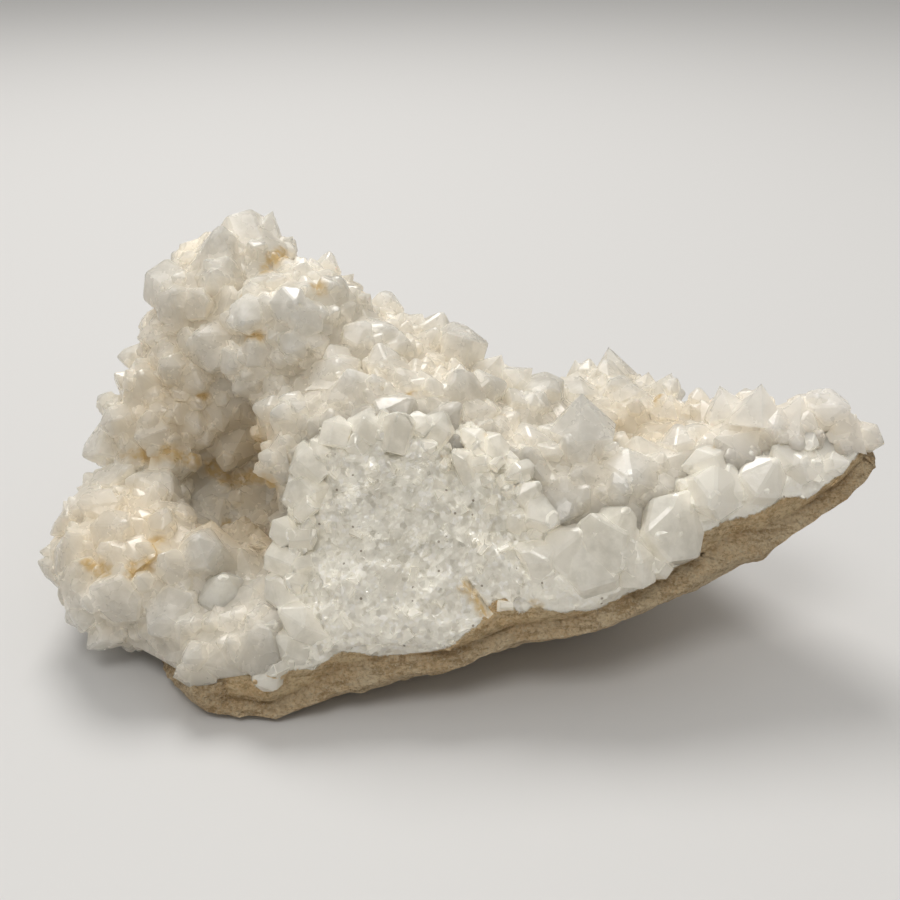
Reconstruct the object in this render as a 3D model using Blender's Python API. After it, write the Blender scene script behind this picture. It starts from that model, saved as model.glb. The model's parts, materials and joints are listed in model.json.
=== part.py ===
"""A fragment of a quartz geode, broken open along its front.

X runs along the fragment, Y away from the broken front and Z up. Three bodies grew one on the other:
a tan rind outside, a thick wall of massive white quartz, and a crust of pointed crystals inside.
All three follow one form, the quartz as it filled the nodule, moved out or in along its normals.
"""

import math
import random

import bmesh
import bpy
import numpy as np
from mathutils import Euler, Matrix, Vector, noise
from mathutils.bvhtree import BVHTree

MM = 0.001

# Thickness of each layer, how much of the crust's stands proud of the form, and the gap between neighbours
RIND_THICKNESS = 3.2 * MM
CRUST_THICKNESS = 2.6 * MM
CRUST_PROUD = 1.4 * MM
LAYER_GAP = 0.3 * MM

# Fineness of the shared form, and how its steps are rounded
FORM_VOXEL = 1.8 * MM
FORM_TRIANGLES = 1200
BALL_SUBDIVISIONS = 4
ROUNDING = 0.5
ROUNDING_STEPS = 16

# Outlines across the quartz, front to back round each: X, then (Y, Z) of the rind's edge in front, the
# foot of the band under it, the keel, the heel, the back, the crown and the brow of the broken face (mm)
SECTIONS = (
    (-76, (-1, 15), (0, 12), (6, 10), (16, 11), (24, 18), (16, 25), (4, 23)),
    (-68, (-9, 9), (-8, 6), (4, 4), (24, 5), (38, 16), (26, 28), (4, 25)),
    (-57, (-14, 7), (-13, 5), (2, 4.5), (28, 5), (48, 16), (28, 28), (0, 25)),
    (-45, (-26, 9), (-24.5, 3.2), (0, 2.6), (32, 3.2), (53, 18), (28, 26), (-6, 21)),
    (-37, (-27, 12), (-25.8, 3), (0, 2.4), (34, 2.6), (53, 19), (40, 33), (-8, 21)),
    (-32, (-27, 13), (-25.8, 3.2), (-1, 2.4), (34, 2.4), (53, 22), (43, 46.5), (-4, 41)),
    (-20, (-25, 15.5), (-22, 6), (-3, 2.2), (34, 2.4), (51, 24), (43, 44.5), (-4, 47)),
    (-4, (-25.5, 16.5), (-22, 11), (-4, 2.6), (34, 2.6), (49, 24), (41, 42), (-4, 47)),
    (12, (-22, 22.5), (-19.5, 16), (0, 4.4), (30, 4.4), (47, 23), (38, 40.5), (-5, 45)),
    (27, (-22, 22.5), (-19, 18), (2, 8), (24, 8), (46, 24), (37, 36.5), (-5, 42)),
    (45, (-14, 33), (-12, 23), (3, 15), (22, 16.5), (38, 28), (31, 38), (-4, 43.5)),
    (57, (-10, 37), (-9, 27), (3, 22.5), (16, 24.5), (28, 35), (18, 45), (1, 49.5)),
    (70, (-8, 41), (-6.5, 36), (1, 34), (7, 35), (13, 41), (8, 47.5), (1, 50)),
    (79.5, (-3, 45), (-2.5, 43.5), (-1.5, 43), (0, 43.5), (1.5, 45), (0.5, 47), (-1.5, 47.5)),
)

# Rounded masses that stand on it, in mm: centre, half sizes, turn about Z, tilt about Y (degrees)
MASSES = {
    "left lobe": ((-59, 5, 18), (19, 19, 10), 0, 0),
    "left wall": ((-62, 30, 31.5), (10.5, 11.5, 14), 0, 0),
    "back wall": ((-50.5, 37, 35), (17.2, 13, 31), -12, 0),
    "peak": ((-46, 43, 62.5), (13.3, 9, 8.7), 0, 0),
    "neck": ((-31, 31, 54), (15, 14.5, 12.5), 0, 0),
    "ridge": ((-13, 30, 42), (35, 14, 14), -18, 19),
    "overhang": ((-12, 12, 40), (26, 20, 13), 0, 0),
    "back hump": ((34, 34, 31), (17, 13, 11), 0, 0),
}

# Hollows that the crystals line, in the same terms
HOLLOWS = {
    "left hollow": ((-43, 12, 30), (18, 16, 14), 0, 0),
    "hollow mouth": ((-37.5, -8, 30), (7, 18, 13), 0, 0),
    "right basin": ((36, 15, 50), (19, 13, 16), 0, 0),
}

# Broken front: a point on each plane (mm), its outward normal, the stretch of X that it spans and how high
# above the rind's edge it is bare of crystals (mm)
FRACTURES = {
    "middle break": ((-20, -26, 15), (0.0, -0.83, 0.555), (-35, 20), 40),
    "right break": ((27, -23, 22), (0.0, -0.77, 0.636), (16, 95), 9),
}
FRACTURE_REACH = 60 * MM
BREAK_ROUGHNESS = 5 * MM

# Height of the rind's edge along the broken front and along the back, as (x, z) in mm
FRONT_EDGE = (
    (-80, 5), (-70, 3), (-60, 3), (-54, 7), (-45, 9), (-38, 12), (-20, 15), (-3, 16), (12, 22), (27, 22),
    (45, 33), (57, 37), (66, 39), (75, 43), (81, 46),
)
BACK_EDGE = (
    (-75, 40), (-60, 56), (-45, 66), (-30, 58), (-10, 48), (10, 42), (35, 37), (55, 38), (70, 43), (81, 46),
)
BACK_EDGE_DEPTH = 40 * MM
FRONT_EDGE_DEPTH = -20 * MM
FRONT_BAND_DEPTH = 2 * MM
OUTWARD = Vector((0, 0.89, -0.454))

# A place belongs to the broken front or to the rind where its normal leans this far towards it
BREAK_LEAN = 0.4
RIND_LEAN = 0.25
HOLLOW_MARGIN = 1.15

# Lumps of the surface: size of the swell (mm) and its height (mm)
SWELL_LENGTH = 9 * MM
SWELL_HEIGHT = 0.8 * MM

# Crystals: width (mm) of each round of growth and how many seats it tries, then shares of a crystal's width
GROWTH = ((12.0, 700), (9.5, 900), (7.0, 220))
SPACING = 0.68
WIDTH_RANGE = (0.85, 1.2)
RISE_RANGE = (0.2, 0.4)
BLUNT_POINT = (0.36, 0.5)
SHARP_POINT = (0.5, 0.65)
APEX_OFFSET = 0.14
UNEVEN = (0.86, 1.14)
ROOT_SHARE = 0.92
AXIS_STRAY = 0.22
SINK = 2.6 * MM
LOWEST_SEAT = 8 * MM

# Block that cuts the flat spot underneath
REST_WIDTH = 300 * MM
REST_DEPTH = 40 * MM

# Corners this close are one, and faces that meet at less than this angle are one
WELD = 0.01 * MM
FLAT = math.radians(0.5)
SEED = 29

# Tips of the crystals that stand out, and their widths, in mm
TIPS = {
    "peak left": ((-53, 45, 72.5), 10),
    "peak middle": ((-46, 46, 75), 10),
    "peak top": ((-39, 49, 76.5), 11),
    "peak right": ((-34, 45, 72), 9),
    "peak side": ((-60, 39, 62), 9),
    "peak front": ((-48, 29, 70.5), 13),
    "wall corner": ((-75, 31, 41), 9),
    "wall foot": ((-76, 26, 30), 9),
    "lobe knob": ((-79, 17, 26), 8),
    "lobe end": ((-79, 3, 14), 9),
    "ridge 1": ((-26, 41, 69), 10),
    "ridge 2": ((-20, 37, 66), 9),
    "ridge 3": ((-10, 32, 60), 9),
    "ridge 4": ((-3, 28, 56.5), 8),
    "ridge 5": ((4, 26, 56), 8),
    "ridge 6": ((10, 24, 53.5), 9),
    "ridge 7": ((17, 25, 50), 9),
    "hump left": ((28, 41, 45), 9),
    "hump top": ((37, 45, 46.5), 11),
    "hump right": ((44, 39, 43), 8),
    "basin back": ((48.5, 33, 45), 8),
    "arm back": ((52, 24, 45), 8),
    "clear block 1": ((52, 8, 53), 10),
    "clear block 2": ((58, 4, 55.5), 11),
    "arm 1": ((65, 2, 54), 9),
    "arm 2": ((70, 3.5, 55), 8),
    "arm 3": ((76, 0.5, 51), 7),
    "arm tip": ((80.5, -1.5, 47.5), 6),
    "big pyramid": ((25, 2, 54), 13),
    "sheet tip": ((24, -13.5, 38.5), 7),
    "rim pyramid": ((37, -7, 44), 10),
}


def link(name, mesh):
    obj = bpy.data.objects.new(name, mesh)
    bpy.context.scene.collection.objects.link(obj)
    return obj


def evaluated_mesh(obj):
    graph = bpy.context.evaluated_depsgraph_get()
    return bpy.data.meshes.new_from_object(obj.evaluated_get(graph))


def mesh_from(shape, name):
    mesh = bpy.data.meshes.new(name)
    shape.to_mesh(mesh)
    shape.free()
    return mesh


def points_of(mesh):
    flat = np.empty(len(mesh.vertices) * 3, np.float32)
    mesh.vertices.foreach_get("co", flat)
    return flat.reshape(-1, 3).astype(float)


def normals_of(mesh):
    flat = np.empty(len(mesh.vertices) * 3, np.float32)
    mesh.vertex_normals.foreach_get("vector", flat)
    return flat.reshape(-1, 3).astype(float)


def placement(centre, half, turn, tilt):
    """Matrix that makes a unit ball into an ellipsoid of the tables above."""
    spin = Euler((0, math.radians(tilt), math.radians(turn))).to_matrix().to_4x4()
    return Matrix.Translation(Vector(centre) * MM) @ spin @ Matrix.Diagonal((*(Vector(half) * MM), 1))


def lumps(name, table, shape):
    """Ellipsoids of a table and what the shape holds, run together into one body by a voxel remesh."""
    for row in table.values():
        bmesh.ops.create_icosphere(shape, subdivisions=BALL_SUBDIVISIONS, radius=1, matrix=placement(*row))
    obj = link(name, mesh_from(shape, name))
    remesh = obj.modifiers.new("Run together", "REMESH")
    remesh.mode = "VOXEL"
    remesh.voxel_size = FORM_VOXEL
    return obj


def lofted(sections):
    """A closed body through the outlines, with flat ends."""
    shape = bmesh.new()
    rings = []
    for x, *outline in sections:
        rings.append([shape.verts.new(Vector((x, y, z)) * MM) for y, z in outline])
    for ring, after in zip(rings, rings[1:]):
        for i in range(len(ring)):
            shape.faces.new((ring[i - 1], ring[i], after[i], after[i - 1]))
    shape.faces.new(reversed(rings[0]))
    shape.faces.new(rings[-1])
    bmesh.ops.recalc_face_normals(shape, faces=shape.faces)
    return shape


def as_cutter(obj):
    obj.hide_render = True
    obj.display_type = "WIRE"
    return obj


def fracture_block(name, point, normal, span):
    """A block that lies against a fracture plane, on its outer side."""
    normal = Vector(normal).normalized()
    low, high = span[0] * MM, span[1] * MM
    middle = Vector(((low + high) / 2, point[1] * MM, point[2] * MM)) + normal * FRACTURE_REACH / 2
    lean = Vector((0, normal.y, normal.z)).to_track_quat("Z", "X").to_matrix().to_4x4()
    size = Matrix.Diagonal((FRACTURE_REACH * 3, high - low, FRACTURE_REACH, 1))
    shape = bmesh.new()
    bmesh.ops.create_cube(shape, size=1, matrix=Matrix.Translation(middle) @ lean @ size)
    return as_cutter(link(name, mesh_from(shape, name)))


def combine(obj, other, operation, solver="EXACT"):
    """A Boolean with one object, or with each object of a collection."""
    step = obj.modifiers.new(operation.title(), "BOOLEAN")
    step.operation = operation
    step.solver = solver
    if isinstance(other, bpy.types.Collection):
        step.operand_type = "COLLECTION"
        step.collection = other
    else:
        step.object = other


def thin_out(obj, triangles):
    """Collapses the shortest edges until about so many triangles are left."""
    now = evaluated_mesh(obj)
    thin = obj.modifiers.new("Thin out", "DECIMATE")
    thin.ratio = min(1, triangles / sum(len(face.vertices) - 2 for face in now.polygons))


def quartz_form():
    """The quartz that filled the nodule, hollows and broken front cut, without its separate crystals."""
    masses = lumps("masses", MASSES, lofted(SECTIONS))
    combine(masses, as_cutter(lumps("hollows", HOLLOWS, bmesh.new())), "DIFFERENCE")
    for name, (point, normal, span, _) in FRACTURES.items():
        combine(masses, fracture_block(name, point, normal, span), "DIFFERENCE")
    again = masses.modifiers.new("Even out", "REMESH")
    again.mode = "VOXEL"
    again.voxel_size = FORM_VOXEL
    soften = masses.modifiers.new("Soften", "SMOOTH")
    soften.factor = ROUNDING
    soften.iterations = ROUNDING_STEPS
    swollen = evaluated_mesh(masses)
    points = points_of(swollen)
    normals = normals_of(swollen)
    swell = [noise.noise(Vector(point) / SWELL_LENGTH) * SWELL_HEIGHT for point in points]
    swollen.vertices.foreach_set("co", (points + normals * np.array(swell)[:, None]).ravel())
    form = link("form", swollen)
    thin_out(form, FORM_TRIANGLES)
    mesh = evaluated_mesh(form)
    for obj in list(bpy.data.objects):
        bpy.data.objects.remove(obj)
    return mesh


def front_edge(x):
    """Height of the rind's edge along the broken front."""
    return np.interp(x / MM, *zip(*FRONT_EDGE)) * MM


def edge_height(point):
    """Height of the rind's edge over a place in plan, between its front and back lines."""
    front = front_edge(point.x)
    back = np.interp(point.x / MM, *zip(*BACK_EDGE)) * MM
    share = (point.y - FRONT_EDGE_DEPTH) / (BACK_EDGE_DEPTH - FRONT_EDGE_DEPTH)
    return front + (back - front) * min(max(share, 0), 1)


def in_hollow(point):
    return any((placement(*row).inverted() @ point).length < HOLLOW_MARGIN for row in HOLLOWS.values())


def zone_of(point, normal):
    """Which layer shows at a place on the form."""
    x = point.x / MM
    for start, facing, span, bare_height in FRACTURES.values():
        facing = Vector(facing).normalized()
        near = abs((point - Vector(start) * MM).dot(facing)) < BREAK_ROUGHNESS
        bare = point.z < edge_height(point) + bare_height * MM
        if span[0] <= x <= span[1] and near and bare and normal.dot(facing) > BREAK_LEAN:
            return "break"
    if in_hollow(point):
        return "crystals"
    if point.y < FRONT_BAND_DEPTH and point.z < front_edge(point.x):
        return "rind"
    if point.z < edge_height(point) and normal.dot(OUTWARD) > RIND_LEAN:
        return "rind"
    return "crystals"


def moved(name, mesh, distances):
    """A copy of the form with each corner moved along its normal."""
    copy = mesh.copy()
    copy.name = name
    points = points_of(mesh) + normals_of(mesh) * np.asarray(distances)[:, None]
    copy.vertices.foreach_set("co", points.ravel())
    copy.update()
    return link(name, copy)


def add_crystal(group, seat, axis, width, rise, point, chance):
    """A six-sided crystal: a prism with a six-faced point, or the point alone where it is low."""
    across = axis.orthogonal().normalized()
    beside = axis.cross(across)
    start = chance.uniform(0, math.tau)
    cap = width * chance.uniform(*point)
    lean = (across * chance.uniform(-1, 1) + beside * chance.uniform(-1, 1)) * width * APEX_OFFSET
    levels = [(rise - cap, 1), (-SINK, ROOT_SHARE)] if rise > cap else [(-SINK, (rise + SINK) / cap)]
    reaches = [width / 2 * chance.uniform(*UNEVEN) for corner in range(6)]
    shape = bmesh.new()
    ring = [shape.verts.new(seat + axis * rise + lean)] * 6
    for level, share in levels:
        below = []
        for corner, reach in enumerate(reaches):
            angle = start + corner * math.tau / 6
            side = (across * math.cos(angle) + beside * math.sin(angle)) * reach * share
            below.append(shape.verts.new(seat + axis * level + side))
        for corner in range(6):
            around = (below[corner - 1], below[corner], ring[corner], ring[corner - 1])
            shape.faces.new(dict.fromkeys(around))
        ring = below
    shape.faces.new(reversed(ring))
    name = f"crystal {len(group.objects)}"
    group.objects.link(as_cutter(bpy.data.objects.new(name, mesh_from(shape, name))))


def grown_crystals(form, zones):
    """Crystals on the form: those that stand out, then rounds of smaller ones between them."""
    chance = random.Random(SEED)
    tree = BVHTree.FromPolygons([v.co for v in form.vertices], [f.vertices for f in form.polygons])
    faces = [f for f in form.polygons if sum(zones[v] == "crystals" for v in f.vertices) >= 2]
    areas = [f.area for f in faces]
    group = bpy.data.collections.new("crystals")
    bpy.context.scene.collection.children.link(group)
    seats = []
    for tip, width in TIPS.values():
        tip = Vector(tip) * MM
        seat, normal, _, rise = tree.find_nearest(tip)
        axis = (tip - seat).normalized()
        add_crystal(group, seat, axis, width * MM, rise, SHARP_POINT, chance)
        seats.append((seat, width * MM))
    for width, tries in GROWTH:
        for face in chance.choices(faces, areas, k=tries):
            size = width * MM * chance.uniform(*WIDTH_RANGE)
            corners = [form.vertices[v].co for v in face.vertices[:3]]
            u, v = sorted((chance.random(), chance.random()))
            seat = corners[0] * u + corners[1] * (v - u) + corners[2] * (1 - v)
            clear = all((seat - other).length > (size + wide) / 2 * SPACING for other, wide in seats)
            stray = Vector([chance.gauss(0, AXIS_STRAY) for _ in range(3)])
            rise = size * chance.uniform(*RISE_RANGE)
            lowest = front_edge(seat.x) + size / 2 if seat.y < FRONT_BAND_DEPTH else 0
            if clear and seat.z > max(lowest, LOWEST_SEAT):
                add_crystal(group, seat, (face.normal + stray).normalized(), size, rise, BLUNT_POINT, chance)
                seats.append((seat, size))
    return group


def largest_body(mesh):
    """The mesh without crumbs that a cut has left loose."""
    shape = bmesh.new()
    shape.from_mesh(mesh)
    unseen = set(shape.verts)
    bodies = []
    while unseen:
        stack = [unseen.pop()]
        body = set(stack)
        while stack:
            for edge in stack.pop().link_edges:
                for vert in edge.verts:
                    if vert not in body:
                        body.add(vert)
                        stack.append(vert)
        unseen -= body
        bodies.append(body)
    keep = max(bodies, key=len)
    bmesh.ops.delete(shape, geom=[v for v in shape.verts if v not in keep], context="VERTS")
    bmesh.ops.remove_doubles(shape, verts=shape.verts, dist=WELD)
    bmesh.ops.dissolve_limit(shape, angle_limit=FLAT, verts=shape.verts, edges=shape.edges)
    bmesh.ops.triangulate(shape, faces=shape.faces)
    return mesh_from(shape, mesh.name)


def settled(name, obj):
    """The named sub-part with its cuts applied."""
    return link(name, largest_body(evaluated_mesh(obj)))


def rest_plane():
    """A block under the place where the fragment rests, which flattens it."""
    shape = bmesh.new()
    size = Matrix.Diagonal((REST_WIDTH, REST_WIDTH, REST_DEPTH, 1))
    bmesh.ops.create_cube(shape, size=1, matrix=Matrix.Translation((0, 0, -REST_DEPTH / 2)) @ size)
    return as_cutter(link("rest plane", mesh_from(shape, "rest plane")))


def material(name, colour, roughness):
    made = bpy.data.materials.new(name)
    made.use_nodes = True
    shader = made.node_tree.nodes["Principled BSDF"]
    shader.inputs["Base Color"].default_value = (*colour, 1)
    shader.inputs["Roughness"].default_value = roughness
    shader.inputs["Metallic"].default_value = 0
    return made


def stand_on_origin(nodes):
    """Moves the fragment so that the middle of its base is the origin, and returns the move."""
    corners = np.concatenate([points_of(node.data) for node in nodes])
    low = corners.min(0)
    high = corners.max(0)
    move = Vector((-(low[0] + high[0]) / 2, -(low[1] + high[1]) / 2, -low[2]))
    for node in nodes:
        node.data.transform(Matrix.Translation(move))
    return move


def build():
    for obj in list(bpy.data.objects):
        bpy.data.objects.remove(obj)
    form = quartz_form()
    zones = [zone_of(v.co, v.normal) for v in form.vertices]
    is_crystal = np.array([zone == "crystals" for zone in zones])
    is_rind = np.array([zone == "rind" for zone in zones])
    wall_depth = np.where(is_crystal, CRUST_PROUD - CRUST_THICKNESS, 0)
    skin_depth = np.where(is_rind, RIND_THICKNESS, -RIND_THICKNESS)

    wall = moved("wall form", form, wall_depth)
    wall_clear = as_cutter(moved("wall with gap", form, wall_depth + LAYER_GAP))
    skin = moved("skin form", form, skin_depth)
    skin_clear = as_cutter(moved("skin with gap", form, skin_depth + LAYER_GAP))
    crust = moved("crust form", form, np.where(is_crystal, CRUST_PROUD, 0))
    crystals = grown_crystals(crust.data, zones)

    combine(skin, wall_clear, "DIFFERENCE", "MANIFOLD")
    combine(skin, rest_plane(), "DIFFERENCE", "MANIFOLD")
    combine(crust, crystals, "UNION", "MANIFOLD")
    # In a sharp crease a body can reach past its own copy with the gap, so both cut the crust
    for body in (wall_clear, wall, skin_clear, skin):
        combine(crust, body, "DIFFERENCE", "MANIFOLD")

    count = len(crystals.objects)
    nodes = [settled("rind", skin), settled("quartz_wall", wall), settled("crystal_crust", crust)]
    for obj in list(bpy.data.objects):
        if obj not in nodes:
            bpy.data.objects.remove(obj)
    nodes[0].data.materials.append(material("tan rind", (0.30, 0.22, 0.13), 0.9))
    nodes[1].data.materials.append(material("massive quartz", (0.78, 0.74, 0.66), 0.55))
    nodes[2].data.materials.append(material("crystal quartz", (0.82, 0.79, 0.72), 0.15))
    return nodes, stand_on_origin(nodes), count


nodes, origin_move, crystal_count = build()
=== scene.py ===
"""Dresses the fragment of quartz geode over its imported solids, and sets its floor, light and camera."""

import json
import math
import random

import bpy
from mathutils import Matrix, Vector
from mathutils.bvhtree import BVHTree

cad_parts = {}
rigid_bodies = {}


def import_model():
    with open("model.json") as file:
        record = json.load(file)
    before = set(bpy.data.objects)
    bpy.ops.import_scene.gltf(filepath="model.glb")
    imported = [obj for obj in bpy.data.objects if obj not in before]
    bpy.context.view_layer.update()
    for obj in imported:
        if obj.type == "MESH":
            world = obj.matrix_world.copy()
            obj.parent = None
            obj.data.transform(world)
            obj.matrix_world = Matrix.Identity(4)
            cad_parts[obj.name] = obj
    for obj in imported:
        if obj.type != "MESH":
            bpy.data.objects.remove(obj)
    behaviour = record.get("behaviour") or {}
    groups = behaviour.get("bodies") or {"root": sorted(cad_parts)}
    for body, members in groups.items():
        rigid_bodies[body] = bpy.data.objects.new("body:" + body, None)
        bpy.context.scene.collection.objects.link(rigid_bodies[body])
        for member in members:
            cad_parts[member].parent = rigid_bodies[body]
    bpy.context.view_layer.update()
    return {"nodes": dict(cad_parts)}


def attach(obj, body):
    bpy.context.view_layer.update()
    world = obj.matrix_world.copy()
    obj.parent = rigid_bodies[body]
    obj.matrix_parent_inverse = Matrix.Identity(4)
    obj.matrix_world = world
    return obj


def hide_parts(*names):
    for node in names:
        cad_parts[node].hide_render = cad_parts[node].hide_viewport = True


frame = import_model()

MM = 0.001

# Places below are in mm from a point on the floor straight ahead of the camera.
# In the part's own frame that point lies here.
SHIFT = Vector((0.47, -13.69, 0.0)) * MM

SEED = 11
chance = random.Random(SEED)


def spot(x, y, z):
    """A place in mm, in the part's own frame."""
    return Vector((x, y, z)) * MM + SHIFT


# Handling of pieces

def only(obj):
    """Leaves one object selected and active."""
    bpy.ops.object.select_all(action="DESELECT")
    obj.select_set(True)
    bpy.context.view_layer.objects.active = obj


def apply(obj, modifier):
    only(obj)
    bpy.ops.object.modifier_apply(modifier=modifier.name)


def new_group(name):
    group = bpy.data.collections.new(name)
    bpy.context.scene.collection.children.link(group)
    return group


def clear(objects):
    """Removes objects and their meshes."""
    for obj in list(objects):
        mesh = obj.data
        bpy.data.objects.remove(obj)
        bpy.data.meshes.remove(mesh)


MERGE = 1e-6


def merged_copy(node, name):
    """A copy of a solid's mesh, with its loose triangles joined."""
    mesh = frame["nodes"][node].data.copy()
    obj = bpy.data.objects.new(name, mesh)
    bpy.context.scene.collection.objects.link(obj)
    mesh.materials.clear()
    mesh.name = name
    only(obj)
    bpy.ops.object.mode_set(mode="EDIT")
    bpy.ops.mesh.select_all(action="SELECT")
    bpy.ops.mesh.remove_doubles(threshold=MERGE)
    bpy.ops.object.mode_set(mode="OBJECT")
    return obj


def tree_of(obj):
    """A solid's surface, for finding the nearest place on it."""
    return BVHTree.FromPolygons([v.co for v in obj.data.vertices], [f.vertices for f in obj.data.polygons])


def select_faces(obj, wanted):
    """Selects just the faces that the test wants, from object mode."""
    only(obj)
    bpy.ops.object.mode_set(mode="EDIT")
    bpy.ops.mesh.select_all(action="DESELECT")
    bpy.ops.object.mode_set(mode="OBJECT")
    for face in obj.data.polygons:
        face.select = wanted(face)


SOFTENING = 0.5


def split_finely(obj, wanted, rounds, smoothing):
    """Divides the wanted faces again and again, rounds them off and keeps their corners as a vertex group."""
    select_faces(obj, wanted)
    bpy.ops.object.mode_set(mode="EDIT")
    bpy.context.tool_settings.mesh_select_mode = (False, False, True)
    for turn in range(rounds):
        bpy.ops.mesh.subdivide(number_cuts=1)
    bpy.ops.object.mode_set(mode="OBJECT")
    inner = {v for f in obj.data.polygons if f.select for v in f.vertices}
    rim = {v for f in obj.data.polygons if not f.select for v in f.vertices}
    inner = [v for v in inner if v not in rim]
    group = obj.vertex_groups.new(name="fine")
    group.add(inner, 1.0, "REPLACE")
    soften = obj.modifiers.new("Round off", "SMOOTH")
    soften.factor = SOFTENING
    soften.iterations = smoothing
    soften.vertex_group = "fine"
    apply(obj, soften)
    return group


def displace(obj, kind, lump, height, **settings):
    """Moves the finely divided corners along their normals by a texture, its lump size and height in mm."""
    texture = bpy.data.textures.new(f"{obj.name} {kind.lower()}", kind)
    texture.noise_scale = lump * MM
    for key, value in settings.items():
        setattr(texture, key, value)
    step = obj.modifiers.new("Relief", "DISPLACE")
    step.texture = texture
    step.texture_coords = "LOCAL"
    step.strength = height * MM
    step.vertex_group = "fine"
    apply(obj, step)


def combine(obj, group, operation="UNION"):
    """Joins what the collection holds to the object as one closed solid, or cuts it away."""
    step = obj.modifiers.new("Grow together", "BOOLEAN")
    step.operation = operation
    step.solver = "MANIFOLD"
    step.operand_type = "COLLECTION"
    step.collection = group
    apply(obj, step)
    clear(group.objects)
    bpy.data.collections.remove(group)
    obj.data.materials.clear()
    for face in obj.data.polygons:
        face.material_index = 0


# Crystals and splinters, each modelled once at unit size

UPWARD = 0.9
POINT_ASIDE = 0.4
EDGE_BEVEL = 0.035
# Six-sided crystals: height of the shoulder, how far the point leans, and the length and breadth of its ridge
CRYSTAL_SHAPES = (
    (0.66, 0.18, 0.16, 0.14),
    (0.74, -0.24, 0.35, 0.2),
    (0.62, 0.1, 0.2, 0.12),
    (0.8, 0.2, 0.5, 0.3),
)
SPLINTER_FLATNESS = 0.4
SPLINTER_ASIDE = 0.5
# Broken blocks: how much of its width the top keeps, and how far it is pushed aside
SPLINTER_SHAPES = ((0.5, 0.2), (0.75, -0.25), (0.25, 0.1))


def crystal_shape(name, shoulder, lean, length, breadth):
    """A six-sided crystal of unit width and height: a prism up to its shoulder, then its blunt point."""
    bpy.ops.object.select_all(action="DESELECT")
    bpy.ops.mesh.primitive_cylinder_add(vertices=6, radius=0.5, depth=shoulder, location=(0, 0, shoulder / 2))
    obj = bpy.context.active_object
    obj.name = name
    bpy.ops.object.transform_apply()
    select_faces(obj, lambda face: face.normal.z > UPWARD)
    bpy.ops.object.mode_set(mode="EDIT")
    rise = (lean, length * POINT_ASIDE, 1 - shoulder)
    bpy.ops.mesh.extrude_region_move(TRANSFORM_OT_translate={"value": rise})
    bpy.ops.transform.resize(value=(length, breadth, 1))
    bpy.ops.mesh.select_all(action="SELECT")
    bpy.ops.mesh.bevel(offset=EDGE_BEVEL, segments=1)
    bpy.ops.object.mode_set(mode="OBJECT")
    return obj


def crystal_shapes():
    return [crystal_shape(f"crystal {number}", *sizes) for number, sizes in enumerate(CRYSTAL_SHAPES, 1)]


def splinter_shape(name, taper, slide):
    """A broken block of unit size: a box whose top is drawn in and pushed aside."""
    bpy.ops.object.select_all(action="DESELECT")
    bpy.ops.mesh.primitive_cube_add(size=1)
    obj = bpy.context.active_object
    obj.name = name
    select_faces(obj, lambda face: face.normal.z > UPWARD)
    bpy.ops.object.mode_set(mode="EDIT")
    bpy.ops.transform.resize(value=(taper, taper * SPLINTER_FLATNESS, 1))
    bpy.ops.transform.translate(value=(slide, slide * SPLINTER_ASIDE, 0))
    bpy.ops.object.mode_set(mode="OBJECT")
    return obj


def splinter_shapes():
    return [splinter_shape(f"splinter {number}", *sizes) for number, sizes in enumerate(SPLINTER_SHAPES, 1)]


def set_copy(shape, group, matrix):
    """A copy of a shape with its own mesh, put in place in that mesh."""
    mesh = shape.data.copy()
    mesh.transform(matrix)
    group.objects.link(bpy.data.objects.new(shape.name, mesh))


def facing(axis, spin):
    """Turn that stands a shape's Z along an axis, spun about it."""
    return axis.to_track_quat("Z", "Y").to_matrix().to_4x4() @ Matrix.Rotation(spin, 4, "Z")


def grow(shapes, group, root, axis, scale):
    """Stands a copy of one of the shapes on its root along an axis, spun by chance."""
    shape = chance.choice(shapes)
    spin = chance.uniform(0, math.tau)
    set_copy(shape, group, Matrix.Translation(root) @ facing(axis, spin) @ Matrix.Diagonal((*scale, 1)))


def stray(spread):
    """A small random vector that tilts an axis."""
    return Vector((chance.gauss(0, 1), chance.gauss(0, 1), chance.gauss(0, 1))) * spread


def scattered(obj, faces, tries, gap, sizes):
    """Random seats on the faces, as (place, normal, size), no two closer than a share of their sizes."""
    corners = obj.data.vertices
    areas = [face.area for face in faces]
    cell = max(sizes) * MM
    grid = {}
    found = []
    for face in chance.choices(faces, areas, k=tries):
        size = chance.uniform(*sizes) * MM
        a, b, c = (corners[v].co for v in face.vertices[:3])
        u, v = sorted((chance.random(), chance.random()))
        seat = a * u + b * (v - u) + c * (1 - v)
        key = tuple(int(math.floor(value / cell)) for value in seat)
        near = [other for i in (-1, 0, 1) for j in (-1, 0, 1) for k in (-1, 0, 1)
                for other in grid.get((key[0] + i, key[1] + j, key[2] + k), ())]
        if all((seat - other[0]).length > (size + other[1]) / 2 * gap for other in near):
            grid.setdefault(key, []).append((seat, size))
            found.append((seat, face.normal.copy(), size))
    return found


# The layers' surfaces, and what is measured against them

crust_tree = tree_of(frame["nodes"]["crystal_crust"])
rind_tree = tree_of(frame["nodes"]["rind"])
wall_tree = tree_of(frame["nodes"]["quartz_wall"])

COVER = 1.2 * MM
CLEARANCE = 0.01 * MM
# The thin gap between the rind and the quartz in the solids is narrower than this
SEAM = 0.5 * MM


def covered(face, trees):
    """Whether another layer lies against a face."""
    start = face.center + face.normal * CLEARANCE
    return any(tree.ray_cast(start, face.normal, COVER)[0] is not None for tree in trees)


def distance(tree, place):
    """How far a place is from a layer."""
    return tree.find_nearest(place)[3]


def attribute(obj, name, values):
    """Keeps one value for each corner, for a material to read."""
    obj.data.attributes.new(name, "FLOAT", "POINT").data.foreach_set("value", values)


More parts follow.
